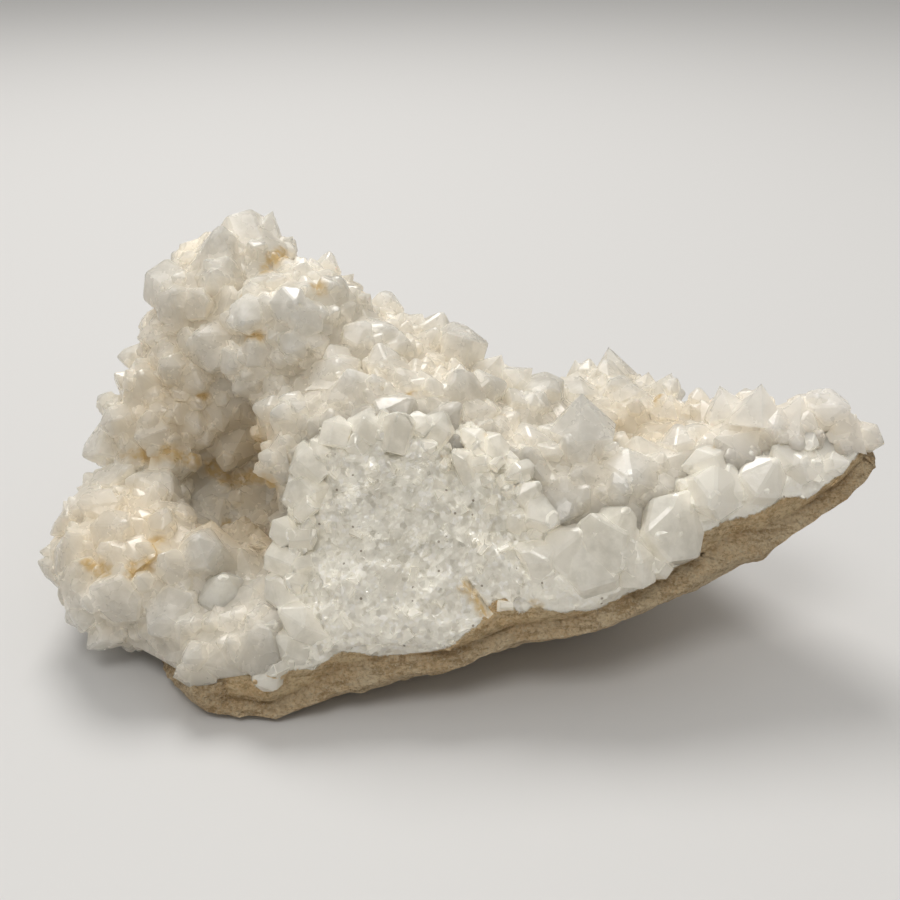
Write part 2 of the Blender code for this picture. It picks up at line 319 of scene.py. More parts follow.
def nearness(obj, name, tree, reach):
    """An attribute that is 1 where a corner touches a layer and falls to 0 at the reach."""
    attribute(obj, name, [max(0.0, 1.0 - distance(tree, vert.co) / reach) for vert in obj.data.vertices])


# The massive quartz

# From here along the right arm the broken front is smoother, with weaker relief and fewer blocks
SMOOTH_FROM = 16 * MM
SMOOTH_FADE = 6 * MM
ARM_RELIEF = 0.6
ARM_BLOCKS = 0.5
CALM_REACH = 7 * MM
# Reach of the paler rim beside the rind
RIM_REACH = 9 * MM

# The crevice in the broken front above the rind, as two lines between places (mm)
CREVICE = (
    ((2.6, -17.6, 26.4), (4.4, -19.0, 24.0)),
    ((4.2, -18.8, 24.4), (7.4, -20.6, 20.0)),
)
CREVICE_WIDTH = 1.8 * MM
CREVICE_DEPTH = 4.5 * MM
CREVICE_OVERLAP = 1.4
INWARD = Vector((0.1, 1, -0.1))

# Where the tan rind begins on the broken front: along (mm) and height (mm)
RIND_LINE = (
    (-56.5, 7), (-53, 8), (-48, 9), (-44, 9), (-43, 10.5), (-36.5, 12), (-31, 12), (-25, 11), (-20, 14.5),
    (-14.5, 12.5), (-9.5, 12.5), (-3.5, 13.5), (2, 17), (5, 19.5), (7.5, 23), (10.5, 23.5), (12.5, 20),
    (16, 22), (18.5, 21), (26, 20.5), (31, 22.5), (39.5, 24.5), (45, 28), (46, 32.5), (49.5, 34),
    (57.5, 35.5), (63, 38), (67, 37), (69.5, 40), (74.5, 43.5), (80, 47),
)
EDGE_SOFTNESS = 3 * MM

# Broken blocks on the massive quartz: smallest and largest width (mm), seats tried, spacing
BLOCKS = (
    (2.4, 5.0, 700, 1.0),
    (0.9, 2.0, 6000, 0.8),
)
BLOCK_SUNK = 0.32
BLOCK_STRAY = 0.5
# A block stays this share of its width, and this much more, away from the rind
BLOCK_ROOM = 0.6
BLOCK_GAP = 0.6 * MM

# Crystals over the border with the crust: within this reach of it, widths (mm), seats tried and spacing
BORDER = 5 * MM
BORDER_WIDTHS = (2.4, 8.5)
BORDER_TRIES = 2500
BORDER_SPACING = 0.58
BORDER_SUNK = 0.72
BORDER_HEIGHT = 1.15
BORDER_LEAN = 0.6
BORDER_STRAY = 0.35

# Large smooth blocks in the broken front: place (mm), width (mm), spin (degrees)
GLASSY = (
    ((20.0, -17.0, 29.0), 11, 10), ((27.0, -16.0, 31.5), 13, 75), ((34.0, -15.0, 31.0), 13, 40),
    ((31.0, -14.5, 36.0), 10, 20), ((41.0, -13.2, 34.0), 14, 20), ((24.0, -17.5, 26.5), 11, 60),
    ((22.5, -16.0, 31.5), 12, 30), ((25.2, -16.4, 29.8), 14, 0), ((49.0, -10.5, 40.0), 11, 50),
    ((58.0, -8.0, 42.5), 10, 15), ((66.0, -6.0, 44.0), 8, 35), ((-30.4, -16.8, 23.4), 9, 25),
    ((-10.0, -17.6, 26.5), 9, 40), ((-43.5, -12.5, 20.5), 10, 5),
)
GLASSY_SUNK = 0.74
GLASSY_LEAN = 0.45

# Faces larger than this (square metres) belong to clear crystals and blocks, and take their finish
CLEAR_AREA = 0.8e-6


def calm(obj):
    """Weakens the relief towards the rind, so that it doesn't swell over it, and along the right arm."""
    group = obj.vertex_groups["fine"]
    for index in [v.index for v in obj.data.vertices if v.groups]:
        place = obj.data.vertices[index].co
        weight = min(distance(rind_tree, place) / CALM_REACH, 1.0)
        if place.x > SMOOTH_FROM:
            weight *= ARM_RELIEF
        group.add([index], weight, "REPLACE")


def add_blocks(obj, faces, group, splinters):
    """Broken blocks scattered over the front, fewer along the right arm and none beside the rind."""
    for low, high, tries, gap in BLOCKS:
        for seat, normal, size in scattered(obj, faces, tries, gap, (low, high)):
            if distance(rind_tree, seat) < size * BLOCK_ROOM + BLOCK_GAP:
                continue
            if seat.x > SMOOTH_FROM and chance.random() < ARM_BLOCKS:
                continue
            axis = (normal + stray(BLOCK_STRAY)).normalized()
            scale = (size, size * chance.uniform(0.6, 1), size * chance.uniform(0.5, 1))
            grow(splinters, group, seat - normal * size * BLOCK_SUNK, axis, scale)


def add_border(obj, faces, group, points):
    """Crystals that lean from the broken front over its border with the crust."""
    border = [face for face in faces if distance(crust_tree, face.center) < BORDER]
    for seat, normal, size in scattered(obj, border, BORDER_TRIES, BORDER_SPACING, BORDER_WIDTHS):
        if distance(rind_tree, seat) < size:
            continue
        toward = (crust_tree.find_nearest(seat)[0] - seat).normalized()
        axis = (normal + toward * BORDER_LEAN + stray(BORDER_STRAY)).normalized()
        scale = (size, size * chance.uniform(0.7, 1.2), size * BORDER_HEIGHT)
        grow(points, group, seat - axis * size * BORDER_SUNK, axis, scale)


def add_glassy(group, points):
    """The large smooth blocks, each at its place on the front."""
    for place, size, spin in GLASSY:
        seat = spot(*place)
        normal = wall_tree.find_nearest(seat)[1]
        size *= MM
        spin = math.radians(spin)
        axis = (normal + Vector((math.sin(spin * 3), 0, math.cos(spin * 2))) * GLASSY_LEAN).normalized()
        root = Matrix.Translation(seat - axis * size * GLASSY_SUNK)
        set_copy(chance.choice(points), group, root @ facing(axis, spin) @ Matrix.Scale(size, 4))


def cut_crevice(obj):
    """Cuts the crevice as two long wedges, narrow end inwards."""
    wedge = splinter_shape("crevice wedge", taper=0.3, slide=0.1)
    group = new_group("crevice")
    for start, end in CREVICE:
        start, end = (wall_tree.find_nearest(spot(*place))[0] for place in (start, end))
        along = (end - start).normalized()
        across = along.cross(INWARD).normalized()
        turn = Matrix((across, along, across.cross(along))).transposed().to_4x4()
        length = (end - start).length * CREVICE_OVERLAP
        scale = Matrix.Diagonal((CREVICE_WIDTH, length, CREVICE_DEPTH, 1))
        set_copy(wedge, group, Matrix.Translation((start + end) / 2) @ turn @ scale)
    clear([wedge])
    combine(obj, group, "DIFFERENCE")


def below_edge(obj):
    """An attribute that is 0.5 on the line where the rind begins, and rises to 1 below it."""
    values = []
    for vert in obj.data.vertices:
        along = (vert.co.x - SHIFT.x) / MM
        for (x0, z0), (x1, z1) in zip(RIND_LINE, RIND_LINE[1:]):
            if along <= x1:
                break
        share = min(max((along - x0) / (x1 - x0), 0.0), 1.0)
        height = (z0 + (z1 - z0) * share) * MM
        values.append(min(max(0.5 + (height - vert.co.z) / EDGE_SOFTNESS / 2, 0.0), 1.0))
    attribute(obj, "below edge", values)


def broken_quartz():
    """The massive quartz, its broken front grained and splintered."""
    obj = merged_copy("quartz_wall", "broken_quartz")
    split_finely(obj, lambda face: not covered(face, (crust_tree, rind_tree)), rounds=4, smoothing=8)
    calm(obj)
    displace(obj, "VORONOI", 10, 3.0, distance_metric="MANHATTAN")
    displace(obj, "VORONOI", 4.5, 0.7, distance_metric="MANHATTAN")
    displace(obj, "CLOUDS", 1.1, 0.6)
    fine = {v.index for v in obj.data.vertices if v.groups}
    faces = [f for f in obj.data.polygons if all(v in fine for v in f.vertices)]
    splinters = splinter_shapes()
    group = new_group("splinters")
    add_blocks(obj, faces, group, splinters)
    points = crystal_shapes()
    add_border(obj, faces, group, points)
    add_glassy(group, points)
    clear(splinters + points)
    combine(obj, group)
    cut_crevice(obj)
    for face in obj.data.polygons:
        if face.area > CLEAR_AREA and distance(rind_tree, face.center) > SEAM * 2:
            face.material_index = 1
    nearness(obj, "rim", rind_tree, RIM_REACH)
    below_edge(obj)
    return obj


# The crust

# Rounds of crystals between the large ones: smallest and largest width (mm), seats tried, spacing, rise
ROUNDS = (
    (8.0, 12.0, 1200, 0.85, 0.28),
    (5.5, 8.0, 2200, 0.85, 0.28),
    (3.2, 5.0, 3000, 0.85, 0.3),
)
# They grow on faces no further than this from the massive quartz
GROUND = 4.4 * MM
CRYSTAL_LEAN = 0.6
CRYSTAL_STRAY = 0.28
# A crystal keeps this share of its width away from the rind
CRYSTAL_ROOM = 0.55
# Past this place the arm's crust is barer: this share of the seats stays empty
ARM = 45 * MM
ARM_BARE = 0.6
# In the hollow grow only crystals whose round starts at this width (mm) or less: places and reach (mm)
SMALL = 4
CAVITY = (((-38, -3, 34), 13), ((-43, 12, 30), 14), ((-40, -8, 22), 9))
# Reach of the warmer roots beside the massive quartz
ROOT_REACH = 9 * MM


def in_cavity(seat):
    return any((seat - spot(*place)).length < reach * MM for place, reach in CAVITY)


def crystals():
    """The crust of crystals, with smaller ones grown between the large ones."""
    obj = merged_copy("crystal_crust", "crystals")
    outer = [face for face in obj.data.polygons
             if distance(wall_tree, face.center) < GROUND and not covered(face, (wall_tree, rind_tree))]
    shapes = crystal_shapes()
    group = new_group("small crystals")
    for low, high, tries, gap, rise in ROUNDS:
        for seat, normal, size in scattered(obj, outer, tries, gap, (low, high)):
            if seat.x > ARM and chance.random() < ARM_BARE:
                continue
            if distance(rind_tree, seat) < size * CRYSTAL_ROOM:
                continue
            if low > SMALL and in_cavity(seat):
                continue
            outward = (seat - wall_tree.find_nearest(seat)[0]).normalized()
            axis = (outward + normal * CRYSTAL_LEAN + stray(CRYSTAL_STRAY)).normalized()
            height = size * chance.uniform(0.8, 1.2)
            scale = (size, size * chance.uniform(0.85, 1.1), height)
            root = seat - axis * height * (1 - rise * chance.uniform(0.7, 1.3))
            grow(shapes, group, root, axis, scale)
    clear(shapes)
    combine(obj, group)
    nearness(obj, "root", wall_tree, ROOT_REACH)
    return obj


# The rind

# The rind's relief fades out towards the spot it rests on, from this height down to this share of it
FOOT_HEIGHT = 5 * MM
FOOT_FLAT = 0.2
GROUND_CLEARANCE = 0.05 * MM
# How far the rind's edge goes into the quartz
OVERLAP = 0.1 * MM
# Reach of the browner edge beside the quartz
EDGE_REACH = 6 * MM


def close_seam(obj):
    """Draws the rind's edge up to the quartz, so that no dark line shows between them."""
    for vert in obj.data.vertices:
        place, normal, face, away = wall_tree.find_nearest(vert.co)
        if away < SEAM:
            vert.co = place - normal * OVERLAP


def rind():
    """The tan rind, pitted and rough."""
    obj = merged_copy("rind", "rind_skin")
    group = split_finely(
        obj, lambda face: not covered(face, (wall_tree,)) and face.center.z > GROUND_CLEARANCE,
        rounds=3, smoothing=3)
    for index in [v.index for v in obj.data.vertices if v.groups and v.co.z < FOOT_HEIGHT]:
        weight = max(obj.data.vertices[index].co.z / FOOT_HEIGHT - FOOT_FLAT, 0.0)
        group.add([index], weight, "REPLACE")
    displace(obj, "CLOUDS", 6, 1.2)
    displace(obj, "STUCCI", 2.5, 0.6, turbulence=8.0)
    displace(obj, "CLOUDS", 1.5, 0.6)
    nearness(obj, "rim", wall_tree, EDGE_REACH)
    close_seam(obj)
    for vert in obj.data.vertices:
        vert.co.z = max(vert.co.z, 0.0)
    return obj


# Node tools

def feed(tree, socket, value):
    """Links a socket to an input, or sets the input to a value."""
    if isinstance(value, bpy.types.NodeSocket):
        tree.links.new(value, socket)
    else:
        socket.default_value = value


def put(tree, kind, inputs=None, **settings):
    """A node with its settings, its inputs given by name or number as values or as sockets to link."""
    made = tree.nodes.new(kind)
    for key, value in settings.items():
        setattr(made, key, value)
    for key, value in (inputs or {}).items():
        feed(tree, made.inputs[key], value)
    return made


def finish_with(tree, shader, inputs):
    """Feeds the shader's inputs, given by name."""
    for key, value in inputs.items():
        feed(tree, shader.inputs[key], value)


def sums(tree, operation, a, b=0.0, c=0.0):
    """Numbers put together by a named operation."""
    return put(tree, "ShaderNodeMath", {0: a, 1: b, 2: c}, operation=operation).outputs[0]


def vectors(tree, operation, a, b=(0, 0, 0)):
    """Vectors put together by a named operation, into a vector or a number."""
    made = put(tree, "ShaderNodeVectorMath", {0: a, 1: b}, operation=operation)
    return made.outputs["Value" if operation in ("LENGTH", "DISTANCE", "DOT_PRODUCT") else "Vector"]


def scaled(tree, vector, factor):
    return put(tree, "ShaderNodeVectorMath", {0: vector, "Scale": factor}, operation="SCALE").outputs[0]


def ranged(tree, value, low, high, start=0.0, end=1.0, smooth=True):
    """Value carried from low..high to start..end, and held there."""
    return put(tree, "ShaderNodeMapRange", {0: value, 1: low, 2: high, 3: start, 4: end},
               interpolation_type="SMOOTHSTEP" if smooth else "LINEAR").outputs[0]


def mixed(tree, share, first, second, blend="MIX"):
    """Two colours mixed by a share, each a socket or a plain colour."""
    made = put(tree, "ShaderNodeMix", data_type="RGBA", blend_type=blend)
    for number, value in ((0, share), (6, first), (7, second)):
        feed(tree, made.inputs[number], (*value, 1) if isinstance(value, tuple) else value)
    return made.outputs[2]


def tinted(tree, colour, tint):
    return mixed(tree, 1.0, colour, tint, "MULTIPLY")


def noisy(tree, vector, noise):
    """A noise given as its lumps to the metre, finer layers and their strength."""
    scale, detail, roughness = noise
    return put(tree, "ShaderNodeTexNoise", {"Vector": vector, "Scale": scale, "Detail": detail,
                                            "Roughness": roughness}).outputs


def cellular(tree, vector, scale):
    """Cells, so many to the metre."""
    return put(tree, "ShaderNodeTexVoronoi", {"Vector": vector, "Scale": scale}).outputs


def channel(tree, colour, number):
    return put(tree, "ShaderNodeSeparateColor", {0: colour}).outputs[number]


def stored(tree, name):
    """A value kept on the corners of the mesh."""
    return put(tree, "ShaderNodeAttribute", attribute_name=name).outputs["Fac"]


def along_of(tree, place):
    return put(tree, "ShaderNodeSeparateXYZ", {0: place}).outputs["X"]


def effect(name, inputs, outputs):
    """A new node group with its named sockets, what it is given, and what it puts out."""
    tree = bpy.data.node_groups.new(name, "ShaderNodeTree")
    for label, kind, value in inputs:
        socket = tree.interface.new_socket(name=label, in_out="INPUT", socket_type=kind)
        if value is not None:
            socket.default_value = value
    for label, kind in outputs:
        tree.interface.new_socket(name=label, in_out="OUTPUT", socket_type=kind)
    return tree, tree.nodes.new("NodeGroupInput").outputs, tree.nodes.new("NodeGroupOutput").inputs


def use(tree, group, inputs):
    return put(tree, "ShaderNodeGroup", inputs, node_tree=group).outputs


# Noises and cells: lumps to the metre, and for noises the finer layers and their strength
WIDE_CLOUDS = (70.0, 3.0, 0.6)
FINE_CLOUDS = (420.0, 3.0, 0.6)
STAIN_WANDER = (350.0, 3.0, 0.5)
STAIN_PATCHES = (700.0, 2.0, 0.5)
SMEARS = (260.0, 3.0, 0.5)
FACE_RELIEF = (900.0, 3.0, 0.6)
GREY_PATCHES = (230.0, 4.0, 0.65)
RAGGED = (420.0, 4.0, 0.7)
STREAKS = (700.0, 5.0, 0.7)
BLOTCHES = (150.0, 4.0, 0.65)
GRAINS = (1800.0, 3.0, 0.75)
FACETS = 900.0
FLECKS = 1300.0
SPECKS = 640.0
PITS = 1100.0

# Colours of the quartz, clear to milky, warm and stained; beige and amber also carry painted shade in the
# hollow and on the lower-left lobe
CLEAR_GREY = (0.76, 0.745, 0.69)
MILK_WHITE = (0.93, 0.915, 0.865)
SNOW = (0.985, 0.975, 0.95)
BEIGE = (0.77, 0.68, 0.53)
AMBER = (0.62, 0.46, 0.24)
OCHRE = (0.62, 0.42, 0.13)
# Tints over the whole of a quartz finish
CLOUDED = (0.89, 0.88, 0.865)
WARM_WHITE = (0.99, 0.97, 0.92)
BROKEN_WHITE = (1.0, 0.985, 0.93)
# Patches, painted glints, flecks and specks of the broken quartz
DULL_PATCH = (0.74, 0.69, 0.59)
PAINTED_GLINT = (1.0, 0.985, 0.95)
DARK_FLECK = (0.62, 0.57, 0.47)
SPECK = (0.16, 0.11, 0.06)
# Colours of the rind, and the tint that it takes where it lies on the quartz
TAN = (0.80, 0.59, 0.345)
BROWN = (0.38, 0.24, 0.105)
CREAM = (0.87, 0.70, 0.46)
PALE_GRAIN = (0.84, 0.71, 0.50)
TAN_ON_QUARTZ = (0.95, 0.93, 0.87)
FLOOR_GREY = (0.68, 0.68, 0.68, 1)

QUARTZ_IOR = 1.54

# Ochre stains, as a line of places in mm, with its width in mm
STAINS = (
    (((-68, 19, 32), (-63, 18, 33), (-58, 16.5, 34.5), (-54, 16.5, 33), (-51, 23, 27), (-46.5, 24, 23.5),
      (-42, 24.5, 25), (-34, -3, 38)), 2.2),
    (((-56.6, 25.6, 49.5),), 1.7),
    (((-51.7, 23.4, 43.9),), 1.8),
    (((-41.2, 25.4, 64.4),), 1.3),
    (((-39.9, 19.6, 58.5), (-38.1, 18.7, 58.8)), 1.6),
    (((-26.7, 23.3, 70.1), (-25.6, 22.7, 67.9)), 1.8),
    (((-27.5, 18.4, 63.1),), 1.6),
    (((-35.5, 39.8, 69.3), (-38.5, 31.7, 69.5)), 2.2),
    (((-10.4, 13.8, 54),), 1.3),
    (((-6.1, 6.9, 53), (-9, 2.2, 51.8)), 1.2),
    (((-13.6, 4, 53.8),), 1.2),
    (((-21.9, -4.9, 44.8), (-19.4, -4.6, 46), (-17.2, -3.9, 47)), 1.5),
    (((10.1, 6.3, 47.1),), 1.1),
    (((6.7, -3.5, 47.2),), 1.3),
    (((-1.7, -5.6, 44.4),), 1.0),
    (((22.7, -3.3, 45.7),), 1.1),
    (((21.8, -10.9, 42.4),), 1.0),
    (((-67.8, -11.2, 25.4), (-64, -12.4, 23.1)), 2.0),
    (((-60.5, -12.6, 23.2), (-57.7, -10.5, 24.9), (-55.9, -6.9, 26.3)), 2.2),
    (((-47.4, 14.3, 18.3),), 1.6),
    (((44.8, -4.4, 42.5), (46.7, -3.7, 43.6), (48.8, -3.8, 44.9)), 1.3),
    (((43.4, 24.3, 43.3),), 1.3),
    (((3.1, -19.5, 24.9), (4.7, -20.4, 23.2), (6.5, -21.5, 21.3)), 1.6),
    (((15.8, -20.6, 22.4),), 1.6),
)
# A stain may be one place alone, and then its line's squared length is kept above zero
ABOVE_ZERO = 1e-9
STAIN_SPREAD = 1.25
STAIN_DRIFT = 3.2 * MM

# Places where the quartz is tinted warmer and darker: centre and half sizes in mm, and how strong it is. In
# the hollow this is partly its iron staining and partly painted shade; on the lower-left lobe it is painted
# shade.
WARMTH_AND_SHADE = (
    ((-40, 10, 33), (20, 24, 20), 1.0),
    ((-58, 24, 42), (17, 20, 22), 0.35),
    ((-64, -2, 27), (24, 22, 18), 0.35),
    ((38, 14, 42), (24, 18, 11), 0.35),
    ((-15, 18, 50), (30, 16, 14), 0.12),
    ((-52, 30, 58), (18, 16, 14), 0.2),
)
# Places where the quartz is whiter: centre and half sizes in mm
WHITER = (((56, -4, 42), (28, 16, 13)), ((-50, 42, 72), (17, 12, 10)), ((-5, -22, 22), (50, 8, 8)))
WHITER_STRENGTH = 0.12
# The quartz turns snowy along the right arm, from the one place to the other
SNOW_FROM = 35 * MM
SNOW_TO = 80 * MM
SNOW_SHARE = 0.8


# Effects that the materials share

def stain_between():
    """A soft mask along the line between two places."""
    tree, given, out = effect(
        "stain between",
        (("Vector", "NodeSocketVector", None), ("Start", "NodeSocketVector", None),
         ("End", "NodeSocketVector", None), ("Width", "NodeSocketFloat", 2 * MM)),
        (("Mask", "NodeSocketFloat"),))
    along = vectors(tree, "SUBTRACT", given["End"], given["Start"])
    off = vectors(tree, "SUBTRACT", given["Vector"], given["Start"])
    square = sums(tree, "MAXIMUM", vectors(tree, "DOT_PRODUCT", along, along), ABOVE_ZERO)
    ahead = sums(tree, "DIVIDE", vectors(tree, "DOT_PRODUCT", off, along), square)
    share = put(tree, "ShaderNodeClamp", {0: ahead}).outputs[0]
    away = vectors(tree, "DISTANCE", off, scaled(tree, along, share))
    mask = ranged(tree, sums(tree, "DIVIDE", away, given["Width"]), 0.3, 1.0, 1.0, 0.0)
    tree.links.new(mask, out["Mask"])
    return tree


def ochre_stains(between):
    """The mask of all the stains, their edges broken up by noise."""
    tree, given, out = effect(
        "ochre stains", (("Vector", "NodeSocketVector", None),), (("Mask", "NodeSocketFloat"),))
    wander = vectors(tree, "SUBTRACT", noisy(tree, given["Vector"], STAIN_WANDER)["Color"], (0.5, 0.5, 0.5))
    place = vectors(tree, "ADD", given["Vector"], scaled(tree, wander, STAIN_DRIFT))
    mask = None
    for line, width in STAINS:
        for start, end in zip(line, line[1:] or line):
            ends = {"Start": spot(*start), "End": spot(*end), "Width": width * STAIN_SPREAD * MM}
            piece = use(tree, between, {"Vector": place, **ends})["Mask"]
            mask = piece if mask is None else sums(tree, "MAXIMUM", mask, piece)
    patchy = ranged(tree, noisy(tree, given["Vector"], STAIN_PATCHES)["Fac"], 0.3, 0.6, 0.4, 1.0)
    tree.links.new(sums(tree, "MULTIPLY", mask, patchy), out["Mask"])
    return tree


def within(tree, place, centre, half, strength, full_to):
    """A mask round a centre, at full strength up to a share of the half sizes, and none past them (mm)."""
    off = vectors(tree, "DIVIDE", vectors(tree, "SUBTRACT", place, spot(*centre)), Vector(half) * MM)
    return ranged(tree, vectors(tree, "LENGTH", off), full_to, 1.0, strength, 0.0)


def milky_quartz(stains):
    """Quartz between clear grey and milk white, stained ochre, and warmer and darker in its hollow (partly
    iron staining, partly painted shade) and on its lower-left lobe (painted shade).
    """
    tree, given, out = effect(
        "milky quartz",
        (("Vector", "NodeSocketVector", None), ("Milk", "NodeSocketFloat", 0.5)),
        (("Color", "NodeSocketColor"),))
    place = given["Vector"]
    wide = noisy(tree, place, WIDE_CLOUDS)["Fac"]
    fine = noisy(tree, place, FINE_CLOUDS)["Fac"]
    both = sums(tree, "MULTIPLY_ADD", fine, 0.45, sums(tree, "MULTIPLY", wide, 0.55))
    milk = sums(tree, "MULTIPLY_ADD", given["Milk"], 0.5, -0.25)
    for centre, half in WHITER:
        milk = sums(tree, "ADD", milk, within(tree, place, centre, half, WHITER_STRENGTH, full_to=0.3))
    veil = ranged(tree, sums(tree, "ADD", both, milk), 0.4, 0.6)
    colour = mixed(tree, veil, CLEAR_GREY, MILK_WHITE)
    snowy = ranged(tree, along_of(tree, place), SNOW_FROM, SNOW_TO, 0.0, SNOW_SHARE)
    colour = mixed(tree, snowy, colour, SNOW)
    warmth_and_shade = None
    for centre, half, strength in WARMTH_AND_SHADE:
        mask = within(tree, place, centre, half, strength, full_to=0.25)
        warmth_and_shade = mask if warmth_and_shade is None else sums(tree, "MAXIMUM", warmth_and_shade, mask)
    # Painted shade: beige and amber darken the hollow and the lower-left lobe, in the hollow together with
    # its real iron staining.
    colour = mixed(tree, ranged(tree, warmth_and_shade, 0.0, 0.6, smooth=False), colour, BEIGE)
    colour = mixed(tree, ranged(tree, warmth_and_shade, 0.55, 1.0), colour, AMBER)
    stain = use(tree, stains, {"Vector": place})["Mask"]
    colour = mixed(tree, sums(tree, "MULTIPLY", stain, 0.75), colour, OCHRE)
    tree.links.new(colour, out["Color"])
    return tree


def facet_sparkle():
    """A normal that leans another way in each small cell, as on sugary broken quartz."""
    tree, given, out = effect(
        "facet sparkle",
        (("Vector", "NodeSocketVector", None), ("Scale", "NodeSocketFloat", FACETS),
         ("Lean", "NodeSocketFloat", 0.5)),
        (("Normal", "NodeSocketVector"), ("Cell", "NodeSocketFloat")))
    cells = cellular(tree, given["Vector"], given["Scale"])["Color"]
    lean = scaled(tree, vectors(tree, "SUBTRACT", cells, (0.5, 0.5, 0.5)), given["Lean"])
    outward = tree.nodes.new("ShaderNodeNewGeometry").outputs["Normal"]
    tree.links.new(vectors(tree, "NORMALIZE", vectors(tree, "ADD", outward, lean)), out["Normal"])
    tree.links.new(channel(tree, cells, 0), out["Cell"])
    return tree


def rind_look():
    """Colour and height of the tan rind: streaks along its edge, grain and pits."""
    tree, given, out = effect(
        "rind look", (("Vector", "NodeSocketVector", None),),
        (("Color", "NodeSocketColor"), ("Height", "NodeSocketFloat")))
    place = given["Vector"]
    stretched = put(tree, "ShaderNodeMapping", {"Vector": place, "Rotation": (0, math.radians(-12), 0),
                                                "Scale": (0.25, 1, 1)}).outputs[0]
    streak = noisy(tree, stretched, STREAKS)["Fac"]
    blotch = noisy(tree, place, BLOTCHES)["Fac"]
    grain = noisy(tree, place, GRAINS)["Fac"]
    pits = cellular(tree, place, PITS)["Distance"]
    colour = mixed(tree, ranged(tree, blotch, 0.38, 0.6), TAN, CREAM)
    colour = mixed(tree, ranged(tree, streak, 0.49, 0.6, 0.0, 0.6), colour, BROWN)
    colour = mixed(tree, ranged(tree, grain, 0.5, 0.64, 0.0, 0.8), colour, PALE_GRAIN)
    colour = mixed(tree, ranged(tree, grain, 0.46, 0.34, 0.0, 0.55), colour, BROWN)
    colour = mixed(tree, ranged(tree, pits, 0.5, 0.8, 0.0, 0.3), colour, BROWN)
    height = sums(tree, "MULTIPLY_ADD", grain, 0.8, sums(tree, "MULTIPLY_ADD", pits, -0.5, streak))
    tree.links.new(colour, out["Color"])
    tree.links.new(height, out["Height"])
    return tree


# Materials

RIND_BUMP = 1.8 * MM
CRYSTAL_BUMP = 0.15 * MM


def material(name):
    """A new material, with its tree, its shader and the place on the piece."""
    made = bpy.data.materials.new(name)
    made.use_nodes = True
    tree = made.node_tree
    place = tree.nodes.new("ShaderNodeTexCoord").outputs["Object"]
    return made, tree, tree.nodes["Principled BSDF"], place


def crystal_material(name, quartz, milk, tint, reach, dullest):
    """Clouded crystal: how milky it is, its tint, how deep light spreads in it, and how dull it gets."""
    made, tree, shader, place = material(name)
    look = use(tree, quartz, {"Vector": place, "Milk": milk})["Color"]
    deep = ranged(tree, stored(tree, "root"), 0.2, 0.75, 0.0, 0.35)
    colour = tinted(tree, mixed(tree, deep, look, BEIGE, "MULTIPLY"), tint)
    smears = noisy(tree, place, SMEARS)["Fac"]
    relief = noisy(tree, place, FACE_RELIEF)["Fac"]
    bump = put(tree, "ShaderNodeBump", {"Height": relief, "Distance": CRYSTAL_BUMP, "Strength": 0.35})
    shader.subsurface_method = "BURLEY"
    finish_with(tree, shader, {
        "Base Color": colour,
        "Roughness": ranged(tree, smears, 0.35, 0.7, dullest / 3, dullest),
        "Normal": bump.outputs[0],
        "IOR": QUARTZ_IOR,
        "Transmission Weight": 0.15,
        "Subsurface Weight": 0.9,
        "Subsurface Radius": (1.0, 0.92, 0.8),
        "Subsurface Scale": reach,
    })
    return made


